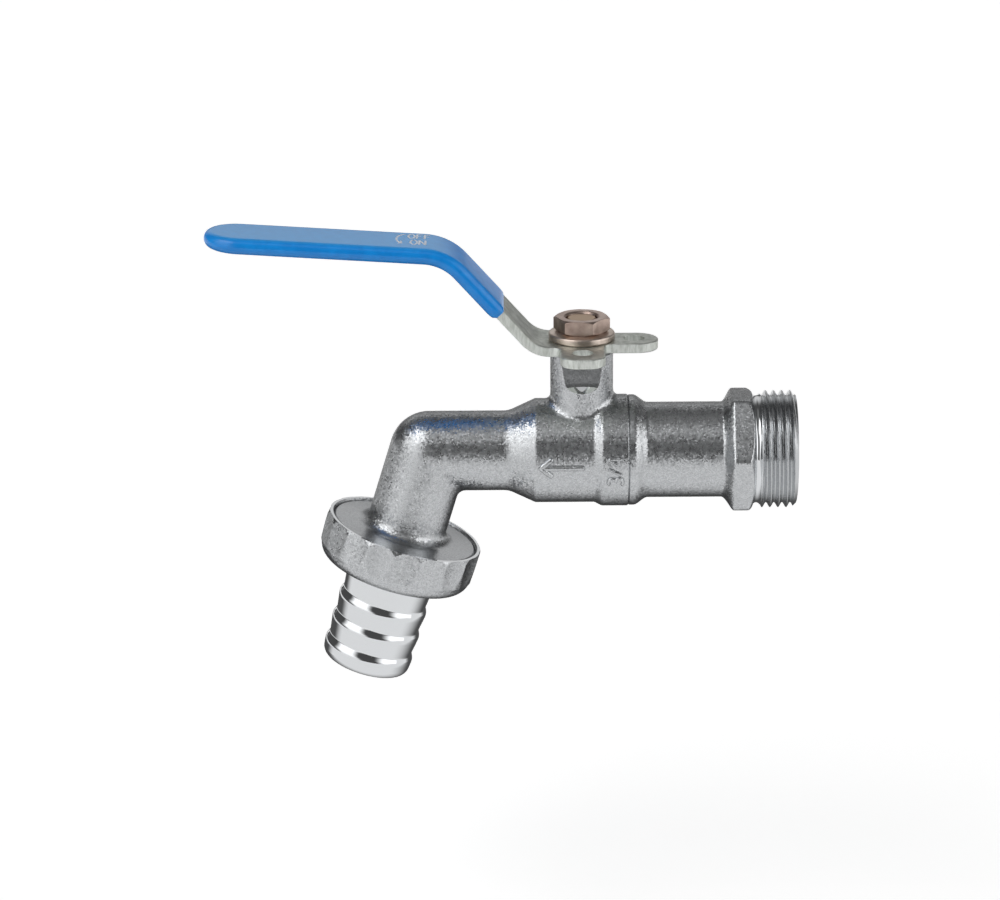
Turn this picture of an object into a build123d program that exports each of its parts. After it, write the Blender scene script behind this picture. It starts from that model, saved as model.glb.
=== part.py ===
from build123d import *
import os
from math import cos, radians, sin, sqrt, tan

# Ball-type bib tap: a forged body with a quarter-turn ball valve, a lever, a wall inlet and a hose union.
# Millimetres. +X runs out of the inlet, +Z is up, and the spout leans towards -X as it goes down.
# The origin is on the inlet's axis at the inner end of its thread.

# Running and assembly clearances, each on the radius or on one side
RUNNING_FIT = 0.05
SCREWED_FIT = 0.02
THREAD_FIT = 0.10
SEAT_FIT = 0.05
LEVER_GAP = 0.30
BALL_GAP = 0.30

# Slope of the turned chamfers on hexagon corners, from the end face
HEX_CHAMFER_ANGLE = 30.0

# Inlet end, from its open mouth to the seam with the body
INLET_THREAD_D = 26.44
INLET_THREAD_L = 7.95
INLET_CHAMFER = 1.0
RELIEF_D = 24.6
RELIEF_L = 1.9
HEX_AF = 25.3
HEX_L = 5.1
HEX_CHAMFER = 0.8
HEX_CORNER_D = 29.1
HEX_TURN = 25.7
FLARE_L = 1.7
FLARE_ROUND = 1.5
TUBE_D = 21.5
TUBE_L = 17.2
COLLAR_SLOPE_L = 2.4
COLLAR_STEP = 0.15
COLLAR_L = 1.5
COLLAR_ROUND = 1.6
INLET_BORE_D = 16.0
BORE_CONE_L = 4.0
SEAM_CHAMFER = 0.25

# Body: ring round the screwed joint, ball chamber, shoulder and spout
JOINT_L = 6.0
JOINT_STEP = 1.1
RING_WALL = 2.2
RING_L = 6.0
RING_SLOPE_L = 1.6
RING_ROUND = 1.4
CHAMBER_WALL = 2.45
SEAT_TO_SHOULDER = 2.2
SHOULDER_L = 6.0
SHOULDER_ROUND = 1.6
SHOULDER_HOLLOW = 5.0
STEM_TO_ELBOW = 34.3
SPOUT_D = 18.0
SPOUT_TILT = 17.0
ELBOW_FILLET = 2.0
ELBOW_WEB_D = 15.0
ELBOW_WEB_SINK = 0.05
ELBOW_WEB_L = 14.0
SPOUT_BORE_D = 13.0
JOINT_RELIEF_L = 0.5
SPIGOT_ROUND = 0.3

# Neck that carries the stem, with a milled flat in front and a stop notch behind
NECK_D = 14.1
NECK_H = 11.83
NECK_FILLET = 1.8
NECK_CHAMFER = 0.3
FLAT_DEPTH = 1.93
FLAT_L = 9.05
FLAT_LEAN = 7.0
FLAT_RUNOUT = 3.2
STOP_NOTCH_DEPTH = 1.6

# Ball, its slot and its two seats, whose shares are of the ball's diameter
BALL_D = 18.0
BALL_BORE_D = 11.0
SLOT_W = 4.0
SLOT_DEPTH = 2.4
SEAT_BORE_STEP = 0.15
SEAT_OD_SHARE = 0.911
SEAT_FACE_SHARE = 0.2444
SEAT_BACK_SHARE = 0.461

# Stem with its collar, thrust washer, two sealing rings, lever flats and threaded end
TANG_L = 7.6
TANG_GAP = 0.10
COLLAR_GAP = 0.30
STEM_COLLAR_D = 10.0
STEM_COLLAR_T = 1.3
THRUST_WASHER_T = 1.0
STEM_D = 7.8
GROOVE_D = 5.8
GROOVE_W = 1.7
WASHER_TO_GROOVE = 1.4
GROOVE_PITCH = 2.4
O_RING_SECTION = 0.94
STEM_THREAD_D = 7.0
STEM_FLATS = 5.4
STEM_IN_NUT = 2.85
STEM_CHAMFER = 0.5

# Lever plate: hub, padlock ear and tab, bent arm
PLATE_T = 2.2
PLATE_EDGE = 0.35
ARM_W = 14.8
TAB_W = 9.6
TAB_REACH = 17.1
EAR_W = 10.0
EAR_REACH = 17.4
EAR_ROUND = 3.6
LOCK_HOLE_D = 4.7
LOCK_HOLE_RADIUS = 11.7
WEB_FILLET = 1.6
STEM_TO_BEND = 10.4
BEND_ANGLE = 48.0
INCLINE_X = 19.65
GRIP_ANGLE = 3.6
LEVER_REACH = 83.2
LOW_BEND_R = 7.5
HIGH_BEND_R = 12.0

# Stop tooth pressed out of the lever's underside
STOP_ANGLE = 135.0
STOP_TRAVEL = 90.0
STOP_HALF_ANGLE = 11.0
STOP_PLAY = 1.0
STOP_INNER_R = 4.6
STOP_OUTER_R = 6.7
STOP_TOOTH_H = 1.5

# Dipped sleeve on the lever's grip
SLEEVE_T = 0.6
SLEEVE_START = 14.1
SLEEVE_ROUND = 1.1

# Washer and nut that hold the lever down
WASHER_D = 14.8
WASHER_T = 2.05
WASHER_EDGE_T = 1.6
WASHER_ROUND = 0.5
WASHER_TOP_D = 10.6
NUT_AF = 11.0
NUT_H = 3.2
NUT_CHAMFER = 0.75
NUT_TURN = -7.0
NUT_SINK = 0.45

# Outlet: flanged thread, gasket, union nut and hose tail, measured down the spout from the elbow
RIM_DOWN = 19.4
FLANGE_SET = 0.4
FLANGE_SLOPE = 0.7
FLANGE_FILLET = 2.6
OUTLET_THREAD_D = 33.25
OUTLET_THREAD_L = 4.6
OUTLET_CHAMFER = 0.4
GASKET_T = 1.8
GASKET_INSET = 1.625
GASKET_BORE_STEP = 0.4
UNION_WALL = 1.475
UNION_DRAFT = 0.55
UNION_LIP_T = 2.0
UNION_SPARE = 0.12
UNION_RIM_STEP = 0.51
UNION_RIM_SLOPE_L = 1.3
UNION_ROUND = 3.2
UNION_HOLE_ROUND = 0.3
UNION_FACETS = 18
FACET_CORNER = 15.6
TAIL_FLANGE_INSET = 0.2
TAIL_FLANGE_T = 1.6
TAIL_FLANGE_ROUND = 0.3
TAIL_BORE_D = 14.6
TAIL_SHANK_D = 21.0
TAIL_HOLE_GAP = 0.35
BARBS = 3
BARB_CREST_D = 20.6
BARB_VALLEY_D = 19.3
BARB_RISE = 1.4
CREST_ROUND = 1.8
VALLEY_ROUND = 0.7
BARB_PITCH = 5.75
SHANK_TO_CREST = 9.75
TAIL_NOSE_L = 3.95
TAIL_NOSE_D = 19.8
TAIL_NOSE_ROUND = 2.1
TAIL_MOUTH_ROUND = 0.4

# Diameters and distances that follow from the ball
SEAT_ID = BALL_BORE_D + 2 * SEAT_BORE_STEP
SEAT_OD = BALL_D * SEAT_OD_SHARE
SEAT_FACE = BALL_D * SEAT_FACE_SHARE
SEAT_BACK = BALL_D * SEAT_BACK_SHARE
SLOT_FLOOR = BALL_D / 2 - SLOT_DEPTH
JOINT_THREAD_D = BALL_D + 2 * BALL_GAP + 2 * JOINT_STEP
RING_D = JOINT_THREAD_D + 2 * RING_WALL
COLLAR_D = RING_D - 2 * COLLAR_STEP
CHAMBER_D = BALL_D + 2 * BALL_GAP + 2 * CHAMBER_WALL
SEAM_TO_STEM = SEAT_FACE + JOINT_L
STEM_TO_SHOULDER = SEAT_BACK + SEAT_TO_SHOULDER

# Diameters that follow from the outlet's thread and the hose tail
UNION_D = OUTLET_THREAD_D + 2 * UNION_WALL
GASKET_OD = OUTLET_THREAD_D - 2 * GASKET_INSET
GASKET_ID = TAIL_BORE_D + 2 * GASKET_BORE_STEP
TAIL_FLANGE_OD = GASKET_OD - 2 * TAIL_FLANGE_INSET

# Places along the inlet's axis
HEX_END_X = -RELIEF_L - HEX_L
TUBE_START_X = HEX_END_X - FLARE_L
TUBE_END_X = TUBE_START_X - TUBE_L
SEAM_X = TUBE_END_X - COLLAR_SLOPE_L - COLLAR_L
STEM_X = SEAM_X - SEAM_TO_STEM
ELBOW_X = STEM_X - STEM_TO_ELBOW
SPIGOT_END_X = STEM_X + SEAT_FACE

# Heights on the stem's axis
NECK_TOP = CHAMBER_D / 2 + NECK_H
FLAT_BOTTOM = NECK_TOP - FLAT_L
COLLAR_BOTTOM = JOINT_THREAD_D / 2 + COLLAR_GAP
COLLAR_TOP = COLLAR_BOTTOM + STEM_COLLAR_T
THRUST_TOP = COLLAR_TOP + THRUST_WASHER_T
LOWER_GROOVE_Z = THRUST_TOP + WASHER_TO_GROOVE
UPPER_GROOVE_Z = LOWER_GROOVE_Z + GROOVE_PITCH
PLATE_BOTTOM = NECK_TOP + LEVER_GAP
PLATE_TOP = PLATE_BOTTOM + PLATE_T
WASHER_TOP = PLATE_TOP + WASHER_T
STEM_TOP = WASHER_TOP + STEM_IN_NUT

# Distances down the spout
OUTLET_END = RIM_DOWN + FLANGE_SET + OUTLET_THREAD_L
TAIL_FLANGE_TOP = OUTLET_END + GASKET_T
SHANK_TOP = TAIL_FLANGE_TOP + TAIL_FLANGE_T
UNION_BOTTOM = SHANK_TOP + UNION_LIP_T

ALONG_X = Rot(0, 90, 0)
ON_STEM = Pos(STEM_X, 0, 0)
DOWN_SPOUT = Pos(ELBOW_X, 0, 0) * Rot(0, 180 + SPOUT_TILT, 0)


def turned(*corners):
    """A solid turned about Z from the corners (radius, height, rounding) of half its section."""
    points = [corner[:2] for corner in corners]
    rounds = [corner[2] if len(corner) > 2 else 0 for corner in corners]
    section = make_face(Plane.XZ * FilletPolyline(*points, radius=rounds, close=True))
    return revolve(section, Axis.Z)


def drilled(diameter, start, end):
    """A round cutter on Z between two heights."""
    return Pos(0, 0, (start + end) / 2) * Cylinder(diameter / 2, abs(end - start))


def hexagon(across_flats, start, end, corner_d, chamfer):
    """A hexagonal prism on Z whose corners are turned down and chamfered at both ends."""
    length = end - start
    prism = Pos(0, 0, start) * extrude(RegularPolygon(across_flats / 2, 6, major_radius=False), length)
    face_r = corner_d / 2 - chamfer
    slope = chamfer * tan(radians(HEX_CHAMFER_ANGLE))
    blank = turned(
        (0, start),
        (face_r, start),
        (corner_d / 2, start + slope),
        (corner_d / 2, end - slope),
        (face_r, end),
        (0, end),
    )
    return prism & blank


def inlet_end():
    """Screwed tail piece: wall thread, hexagon, tube, and the spigot that carries the inlet seat."""
    outside = turned(
        (0, SPIGOT_END_X),
        (JOINT_THREAD_D / 2 - SCREWED_FIT, SPIGOT_END_X, SPIGOT_ROUND),
        (JOINT_THREAD_D / 2 - SCREWED_FIT, SEAM_X),
        (COLLAR_D / 2 - SEAM_CHAMFER, SEAM_X),
        (COLLAR_D / 2, SEAM_X + SEAM_CHAMFER),
        (COLLAR_D / 2, SEAM_X + COLLAR_L, COLLAR_ROUND),
        (TUBE_D / 2, TUBE_END_X, COLLAR_ROUND),
        (TUBE_D / 2, TUBE_START_X, FLARE_ROUND),
        (HEX_AF / 2, HEX_END_X),
        (RELIEF_D / 2, -RELIEF_L),
        (RELIEF_D / 2, 0),
        (INLET_THREAD_D / 2, 0),
        (INLET_THREAD_D / 2, INLET_THREAD_L - INLET_CHAMFER),
        (INLET_THREAD_D / 2 - INLET_CHAMFER, INLET_THREAD_L),
        (0, INLET_THREAD_L),
    )
    nut = Rot(0, 0, HEX_TURN) * hexagon(HEX_AF, HEX_END_X, -RELIEF_L, HEX_CORNER_D, HEX_CHAMFER)
    cone_start = SEAM_X + BORE_CONE_L
    waterway = turned(
        (0, SPIGOT_END_X),
        (SEAT_OD / 2 + SEAT_FIT, SPIGOT_END_X),
        (SEAT_OD / 2 + SEAT_FIT, STEM_X + SEAT_BACK),
        (BALL_BORE_D / 2, STEM_X + SEAT_BACK),
        (BALL_BORE_D / 2, cone_start),
        (INLET_BORE_D / 2, cone_start + BORE_CONE_L),
        (INLET_BORE_D / 2, INLET_THREAD_L),
        (0, INLET_THREAD_L),
    )
    return ALONG_X * (outside + nut - waterway)


def neck_flat():
    """Cutter for the leaning flat on the neck's front, which runs out below in a hollow curve."""
    top_y = FLAT_DEPTH - NECK_D / 2
    bottom_y = top_y - FLAT_L * tan(radians(FLAT_LEAN))
    out_y = bottom_y - 2 * FLAT_RUNOUT
    side = FilletPolyline(
        (top_y, NECK_TOP),
        (bottom_y, FLAT_BOTTOM),
        (out_y, FLAT_BOTTOM),
        (out_y, NECK_TOP),
        radius=[0, FLAT_RUNOUT, 0, 0],
        close=True,
    )
    return extrude(make_face(Plane.YZ * side), NECK_D, both=True)


def sector(inner_r, outer_r, middle, half_angle, bottom, height):
    """A ring sector on Z, between two radii and two angles."""
    reach = outer_r / cos(radians(half_angle))
    corner = reach * sin(radians(half_angle))
    base = reach * cos(radians(half_angle))
    wedge = make_face(Polyline((0, 0), (base, -corner), (base, corner), close=True))
    flat = wedge & (Circle(outer_r) - Circle(inner_r))
    return Pos(0, 0, bottom) * Rot(0, 0, middle) * extrude(flat, height)


def stop_notch():
    """Cutter for the notch behind the neck in which the lever's stop tooth swings."""
    half = STOP_TRAVEL / 2 + STOP_HALF_ANGLE + STOP_PLAY
    middle = STOP_ANGLE - STOP_TRAVEL / 2
    return sector(STEM_D / 2, NECK_D, middle, half, NECK_TOP - STOP_NOTCH_DEPTH, STOP_NOTCH_DEPTH)


def elbow_web():
    """Slimmer bent bar on the inner side of the elbow, which rounds the crease between barrel and spout."""
    web_r = ELBOW_WEB_D / 2
    offset = SPOUT_D / 2 - ELBOW_WEB_SINK - web_r
    tilt = radians(SPOUT_TILT)
    corner = Vector(ELBOW_X + offset * (1 - sin(tilt)) / cos(tilt), -offset)
    route = FilletPolyline(
        corner + Vector(ELBOW_WEB_L, 0),
        corner,
        corner - Vector(sin(tilt), cos(tilt)) * ELBOW_WEB_L,
        radius=[web_r + ELBOW_FILLET],
    )
    path = Plane.XZ * route
    return sweep(Plane(origin=path @ 0, z_dir=path % 0) * Circle(web_r), path)


def body_outside():
    """Forged outside of the body: barrel, elbow, spout with its flange, and neck."""
    ring_end = SEAM_X - RING_L
    shoulder = STEM_X - STEM_TO_SHOULDER
    barrel = ALONG_X * turned(
        (0, ELBOW_X),
        (SPOUT_D / 2, ELBOW_X),
        (SPOUT_D / 2, shoulder - SHOULDER_L, SHOULDER_HOLLOW),
        (CHAMBER_D / 2, shoulder, SHOULDER_ROUND),
        (CHAMBER_D / 2, ring_end - RING_SLOPE_L, RING_ROUND),
        (RING_D / 2, ring_end, RING_ROUND),
        (RING_D / 2, SEAM_X - SEAM_CHAMFER),
        (RING_D / 2 - SEAM_CHAMFER, SEAM_X),
        (0, SEAM_X),
    )
    flange_top = RIM_DOWN + FLANGE_SET
    spout = DOWN_SPOUT * turned(
        (0, 0),
        (SPOUT_D / 2, 0),
        (SPOUT_D / 2, flange_top - FLANGE_SLOPE, FLANGE_FILLET),
        (OUTLET_THREAD_D / 2 - OUTLET_CHAMFER, flange_top),
        (OUTLET_THREAD_D / 2, flange_top + OUTLET_CHAMFER),
        (OUTLET_THREAD_D / 2, OUTLET_END - OUTLET_CHAMFER),
        (OUTLET_THREAD_D / 2 - OUTLET_CHAMFER, OUTLET_END),
        (0, OUTLET_END),
    )
    elbow = Pos(ELBOW_X, 0, 0) * Sphere(SPOUT_D / 2)
    neck = ON_STEM * turned(
        (0, 0),
        (NECK_D / 2, 0),
        (NECK_D / 2, NECK_TOP - NECK_CHAMFER),
        (NECK_D / 2 - NECK_CHAMFER, NECK_TOP),
        (0, NECK_TOP),
    )
    shell = barrel + elbow + spout + elbow_web()
    joined = shell + neck
    seam = new_edges(shell, neck, combined=joined)
    return fillet(seam, NECK_FILLET)


def body():
    """Body forging with its chamber, seat pocket, waterway and stem bore machined out."""
    joint_end = SPIGOT_END_X - JOINT_RELIEF_L
    chamber = turned(
        (0, ELBOW_X),
        (SPOUT_BORE_D / 2, ELBOW_X),
        (SPOUT_BORE_D / 2, STEM_X - SEAT_BACK),
        (SEAT_OD / 2 + SEAT_FIT, STEM_X - SEAT_BACK),
        (SEAT_OD / 2 + SEAT_FIT, STEM_X - SEAT_FACE),
        (BALL_D / 2 + BALL_GAP, STEM_X - SEAT_FACE),
        (BALL_D / 2 + BALL_GAP, joint_end),
        (JOINT_THREAD_D / 2, joint_end),
        (JOINT_THREAD_D / 2, SEAM_X),
        (0, SEAM_X),
    )
    elbow_bore = Pos(ELBOW_X, 0, 0) * Sphere(SPOUT_BORE_D / 2)
    spout_bore = DOWN_SPOUT * drilled(SPOUT_BORE_D, 0, OUTLET_END)
    stem_bore = drilled(STEM_D + 2 * RUNNING_FIT, 0, NECK_TOP)
    collar_bore = drilled(STEM_COLLAR_D + 2 * RUNNING_FIT, 0, THRUST_TOP)
    neck_cuts = ON_STEM * (stem_bore + collar_bore + neck_flat() + stop_notch())
    return body_outside() - ALONG_X * chamber - elbow_bore - spout_bore - neck_cuts


def ball():
    """Drilled ball with the cross slot that takes the stem's tang."""
    drilled_ball = Sphere(BALL_D / 2) - ALONG_X * Cylinder(BALL_BORE_D / 2, BALL_D)
    slot = Pos(0, 0, SLOT_FLOOR + BALL_D / 2) * Box(SLOT_W, BALL_D, BALL_D)
    return ON_STEM * (drilled_ball - slot)


def seat(side):
    """Seat ring on one side of the ball, hollowed to the ball's curve."""
    ring = turned(
        (SEAT_ID / 2, SEAT_FACE),
        (SEAT_OD / 2, SEAT_FACE),
        (SEAT_OD / 2, SEAT_BACK),
        (SEAT_ID / 2, SEAT_BACK),
    )
    hollowed = ring - Sphere(BALL_D / 2 + SEAT_FIT)
    return ON_STEM * Rot(0, 90 * side, 0) * hollowed


def stem():
    """Blow-out-proof stem: tang, collar, grooved shaft and flatted threaded end."""
    shaft = turned(
        (0, COLLAR_BOTTOM),
        (STEM_COLLAR_D / 2, COLLAR_BOTTOM),
        (STEM_COLLAR_D / 2, COLLAR_TOP),
        (STEM_D / 2, COLLAR_TOP),
        (STEM_D / 2, PLATE_BOTTOM),
        (0, PLATE_BOTTOM),
    )
    for height in (LOWER_GROOVE_Z, UPPER_GROOVE_Z):
        ring = Cylinder(STEM_D, GROOVE_W) - Cylinder(GROOVE_D / 2, GROOVE_W)
        shaft -= Pos(0, 0, height) * ring
    tang_bottom = SLOT_FLOOR + TANG_GAP
    tang_h = COLLAR_BOTTOM - tang_bottom
    tang = Pos(0, 0, tang_bottom + tang_h / 2) * Box(SLOT_W - 2 * RUNNING_FIT, TANG_L, tang_h)
    end = turned(
        (0, PLATE_BOTTOM),
        (STEM_THREAD_D / 2, PLATE_BOTTOM),
        (STEM_THREAD_D / 2, STEM_TOP - STEM_CHAMFER),
        (STEM_THREAD_D / 2 - STEM_CHAMFER, STEM_TOP),
        (0, STEM_TOP),
    )
    flats = Pos(0, 0, (PLATE_BOTTOM + STEM_TOP) / 2) * Box(STEM_D, STEM_FLATS, STEM_TOP - PLATE_BOTTOM)
    return ON_STEM * (shaft + tang + (end & flats))


def thrust_washer():
    """Low-friction washer between the stem's collar and the body."""
    ring = drilled(STEM_COLLAR_D, COLLAR_TOP, THRUST_TOP)
    return ON_STEM * (ring - drilled(STEM_D + 2 * RUNNING_FIT, COLLAR_TOP, THRUST_TOP))


def o_ring(height):
    """Sealing ring that fills its groove between the stem and the neck's bore."""
    middle_r = (GROOVE_D / 2 + STEM_D / 2 + RUNNING_FIT) / 2
    return ON_STEM * Pos(0, 0, height) * Torus(middle_r, O_RING_SECTION / 2)


def arm_outline(half_width, reach):
    """Plan of the lever's arm, from the stem's axis to its round tip."""
    straight = reach - half_width
    strip = Pos(-straight / 2, 0) * Rectangle(straight, 2 * half_width)
    return strip + Pos(-straight, 0) * Circle(half_width)


def lever_outline():
    """Plan of the lever plate about the stem's axis: arm, hub, tab and ear, with filleted inner corners."""
    half_arm = ARM_W / 2
    half_tab = TAB_W / 2
    half_ear = EAR_W / 2
    hub = Circle(half_arm) & Pos(0, half_arm / 2) * Rectangle(ARM_W, half_arm)
    tab_centre = TAB_REACH - half_tab
    tab = Pos(tab_centre / 2, 0) * Rectangle(tab_centre, TAB_W) + Pos(tab_centre, 0) * Circle(half_tab)
    ear_l = EAR_REACH + EAR_ROUND
    ear = Pos(0, EAR_ROUND - ear_l / 2) * RectangleRounded(EAR_W, ear_l, EAR_ROUND)
    plan = arm_outline(half_arm, LEVER_REACH) + hub + tab + ear
    inner_corners = (
        Vector(sqrt(half_arm**2 - half_tab**2), half_tab),
        Vector(half_ear, -half_tab),
        Vector(-half_ear, -half_arm),
    )
    webs = [plan.vertices().sort_by_distance(corner)[0] for corner in inner_corners]
    return fillet(webs, WEB_FILLET)


def arm_corners():
    """Corners of the lever's middle line in side view: low bend, high bend and tip."""
    middle = PLATE_BOTTOM + PLATE_T / 2
    low = Vector(-STEM_TO_BEND, middle)
    high = low + Vector(-INCLINE_X, INCLINE_X * tan(radians(BEND_ANGLE)))
    run = LEVER_REACH + 2 * SLEEVE_T + high.X
    tip = high + Vector(-run, run * tan(radians(GRIP_ANGLE)))
    return low, high, tip


def swept_plate(route, thickness, outline):
    """A plate swept along a side-view route and cut to a plan outline."""
    path = Plane.XZ * route
    sheet_w = 2 * (EAR_REACH + ARM_W)
    section = Plane(origin=path @ 0, x_dir=(0, 1, 0), z_dir=path % 0) * Rectangle(sheet_w, thickness)
    return sweep(section, path) & extrude(outline, 2 * LEVER_REACH)


def lever():
    """Bent plate lever with padlock ear and tab, flatted stem hole, and a stop tooth underneath."""
    low, high, tip = arm_corners()
    start = Vector(TAB_REACH + PLATE_T, low.Y)
    route = FilletPolyline(start, low, high, tip, radius=[LOW_BEND_R, HIGH_BEND_R])
    blank = swept_plate(route, PLATE_T, lever_outline())
    across = blank.edges().filter_by(Axis.Y)
    upright = blank.edges().filter_by(Axis.Z)
    rims = [edge for edge in blank.edges() if edge not in across and edge not in upright]
    plate = fillet(rims, PLATE_EDGE)
    stem_hole = Circle(STEM_THREAD_D / 2 + RUNNING_FIT) & Rectangle(STEM_D, STEM_FLATS + 2 * RUNNING_FIT)
    holes = extrude(stem_hole, PLATE_TOP)
    for place in ((LOCK_HOLE_RADIUS, 0), (0, -LOCK_HOLE_RADIUS)):
        holes += extrude(Pos(*place) * Circle(LOCK_HOLE_D / 2), PLATE_TOP)
    tooth_bottom = PLATE_BOTTOM - STOP_TOOTH_H
    tooth = sector(STOP_INNER_R, STOP_OUTER_R, STOP_ANGLE, STOP_HALF_ANGLE, tooth_bottom, STOP_TOOTH_H)
    return ON_STEM * (plate - holes + tooth)


def lever_sleeve():
    """Dipped plastic sleeve that covers the grip and the upper part of the incline."""
    low, high, tip = arm_corners()
    start = low + (high - low).normalized() * SLEEVE_START
    route = FilletPolyline(start, high, tip, radius=[HIGH_BEND_R])
    thickness = PLATE_T + 2 * SLEEVE_T
    skin = swept_plate(route, thickness, arm_outline(ARM_W / 2 + SLEEVE_T, LEVER_REACH + SLEEVE_T))
    across = skin.edges().filter_by(Axis.Y)
    ends = skin.faces().sort_by_distance((start.X, 0, start.Y))[0].edges()
    rims = [edge for edge in skin.edges() if edge not in across and edge not in ends]
    return ON_STEM * fillet(rims, SLEEVE_ROUND) - lever()


def lever_washer():
    """Washer under the lever's nut, whose top rises from a rounded edge to the nut."""
    ring = turned(
        (STEM_THREAD_D / 2 + THREAD_FIT, PLATE_TOP),
        (WASHER_D / 2, PLATE_TOP, WASHER_ROUND),
        (WASHER_D / 2, PLATE_TOP + WASHER_EDGE_T, WASHER_ROUND),
        (WASHER_TOP_D / 2, WASHER_TOP),
        (STEM_THREAD_D / 2 + THREAD_FIT, WASHER_TOP),
    )
    return ON_STEM * ring


def lever_nut():
    """Hexagon nut that clamps the lever to the stem."""
    top = WASHER_TOP + NUT_H
    corner_d = 2 * NUT_AF / sqrt(3)
    blank = hexagon(NUT_AF, WASHER_TOP, top, corner_d, NUT_CHAMFER)
    bore_r = STEM_THREAD_D / 2 + RUNNING_FIT
    bore = turned(
        (0, WASHER_TOP),
        (bore_r, WASHER_TOP),
        (bore_r, top - NUT_SINK),
        (bore_r + NUT_SINK, top),
        (0, top),
    )
    return ON_STEM * Rot(0, 0, NUT_TURN) * (blank - bore)


def union_nut():
    """Union nut with a chamfered rim, facets that run out on its tapered side, and an inner lip."""
    corner_r = UNION_D / 2
    blank_r = corner_r + UNION_SPARE
    bore_r = OUTLET_THREAD_D / 2 + THREAD_FIT
    hole_r = TAIL_SHANK_D / 2 + TAIL_HOLE_GAP
    shell = turned(
        (bore_r, RIM_DOWN),
        (blank_r - UNION_RIM_STEP, RIM_DOWN),
        (blank_r, RIM_DOWN + UNION_RIM_SLOPE_L),
        (corner_r - UNION_DRAFT, UNION_BOTTOM, UNION_ROUND),
        (hole_r, UNION_BOTTOM, UNION_HOLE_ROUND),
        (hole_r, SHANK_TOP),
        (bore_r, SHANK_TOP),
    )
    facets = Pos(0, 0, RIM_DOWN) * extrude(RegularPolygon(corner_r, UNION_FACETS), UNION_BOTTOM - RIM_DOWN)
    return DOWN_SPOUT * (shell & Rot(0, 0, FACET_CORNER) * facets)


def hose_tail():
    """Turned hose tail: flange, shank and barbs that taper towards the nose."""
    first_crest = SHANK_TOP + SHANK_TO_CREST
    section = [
        (TAIL_BORE_D / 2, TAIL_FLANGE_TOP),
        (TAIL_FLANGE_OD / 2, TAIL_FLANGE_TOP, TAIL_FLANGE_ROUND),
        (TAIL_FLANGE_OD / 2, SHANK_TOP, TAIL_FLANGE_ROUND),
        (TAIL_SHANK_D / 2, SHANK_TOP),
    ]
    for barb in range(BARBS):
        crest = first_crest + barb * BARB_PITCH
        section.append((BARB_VALLEY_D / 2, crest - BARB_RISE, VALLEY_ROUND))
        section.append((BARB_CREST_D / 2, crest, CREST_ROUND))
    nose = first_crest + (BARBS - 1) * BARB_PITCH + TAIL_NOSE_L
    section.append((TAIL_NOSE_D / 2, nose, TAIL_NOSE_ROUND))
    section.append((TAIL_BORE_D / 2, nose, TAIL_MOUTH_ROUND))
    return DOWN_SPOUT * turned(*section)


def union_gasket():
    """Flat gasket between the spout's end and the hose tail's flange."""
    ring = drilled(GASKET_OD, OUTLET_END, TAIL_FLANGE_TOP) - drilled(GASKET_ID, OUTLET_END, TAIL_FLANGE_TOP)
    return DOWN_SPOUT * ring


PIECES = {
    "body": body,
    "inlet_end": inlet_end,
    "ball": ball,
    "seat_inlet": lambda: seat(1),
    "seat_outlet": lambda: seat(-1),
    "stem": stem,
    "stem_thrust_washer": thrust_washer,
    "stem_o_ring_lower": lambda: o_ring(LOWER_GROOVE_Z),
    "stem_o_ring_upper": lambda: o_ring(UPPER_GROOVE_Z),
    "lever": lever,
    "lever_sleeve": lever_sleeve,
    "lever_washer": lever_washer,
    "lever_nut": lever_nut,
    "union_nut": union_nut,
    "hose_tail": hose_tail,
    "union_gasket": union_gasket,
}

os.makedirs("parts", exist_ok=True)
for node, make in PIECES.items():
    export_step(make(), f"parts/{node}.step")
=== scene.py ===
# %% [markdown]
# # A ball-type bib tap, dressed in Blender
# The solids of the tap come from CAD and sit still at the origin, in metres. This lesson gives each of
# them the finish of the real piece. Three pieces are replaced, because a plain solid leaves out their
# fine shapes: the inlet end with its screw thread, the faceted union nut and the dipped sleeve. A few
# small skins are added: the soft corner of the elbow, a polished scoop on the neck, the marks on the
# body and the print on the grip. The tap's sizes are written in millimetres, which MM turns to metres. The
# camera and the floor are placed in metres.

import math

import bpy
import numpy as np
from mathutils import Matrix, Vector
from mathutils.bvhtree import BVHTree


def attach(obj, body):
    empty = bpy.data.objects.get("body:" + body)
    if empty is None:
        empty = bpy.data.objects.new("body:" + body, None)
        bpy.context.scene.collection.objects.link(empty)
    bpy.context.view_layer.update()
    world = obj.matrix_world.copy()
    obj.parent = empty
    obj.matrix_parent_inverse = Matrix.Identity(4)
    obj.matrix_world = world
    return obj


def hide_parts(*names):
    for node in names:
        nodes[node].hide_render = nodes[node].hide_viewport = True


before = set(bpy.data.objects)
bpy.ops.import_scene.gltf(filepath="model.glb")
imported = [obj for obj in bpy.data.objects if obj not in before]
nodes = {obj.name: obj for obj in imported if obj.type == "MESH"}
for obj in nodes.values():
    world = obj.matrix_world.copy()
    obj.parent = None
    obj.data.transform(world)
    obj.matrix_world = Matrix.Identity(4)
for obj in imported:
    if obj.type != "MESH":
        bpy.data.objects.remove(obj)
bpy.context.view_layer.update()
MM = 0.001

# %% [markdown]
# ## Small helpers for every material
# Colours are written as the hex values that a paint chart or a photo editor shows. Blender's sockets
# want linear light, so one function converts them. Another fills a node's sockets: a plain value is set,
# and another node's output is linked. With it, one more function adds any node with its settings, and
# the last one starts a material.

# %% Colour and node helpers
MIXED_COLOUR = 2  # a Mix node gives its colour at this output


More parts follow.
